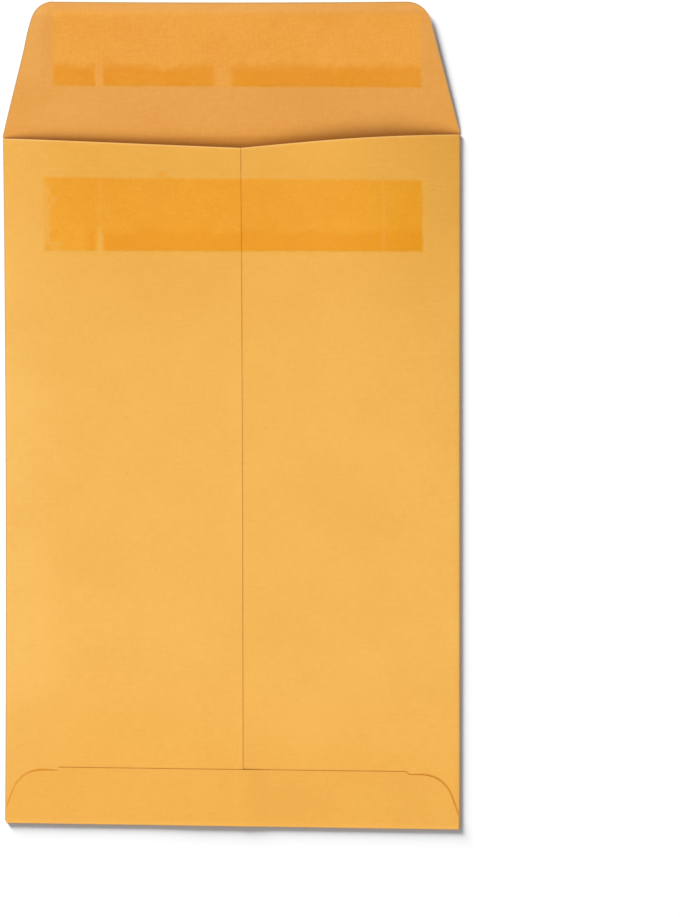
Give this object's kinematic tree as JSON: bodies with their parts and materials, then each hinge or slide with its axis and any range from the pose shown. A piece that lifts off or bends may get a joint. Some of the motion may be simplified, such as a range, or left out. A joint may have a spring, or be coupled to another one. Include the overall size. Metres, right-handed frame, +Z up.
{
  "type": "paper envelope",
  "caption": "Open-end kraft paper envelope lying back side up with its flap open, a centre seam, a glued bottom flap and dried gum strips on the flap and below the mouth.",
  "frame": {"origin": "on the surface it lies on, under the middle of its length and width", "axes": "+Y from the bottom fold towards the open flap, +Z up out of the back panels, +X to the right seen from above"},
  "size_m": [0.1524, 0.273, 0.0081],
  "materials": {
    "kraft_paper": "uncoated, smooth machine finish with faint fibre mottling",
    "dried_gum": "thin dried latex, slightly glossy, amber over the paper"
  },
  "bodies": {
    "root": {"folded_sheet": "kraft_paper", "flap_adhesive_strip": "dried_gum", "body_adhesive_strip": "dried_gum"}
  },
  "joints": []
}
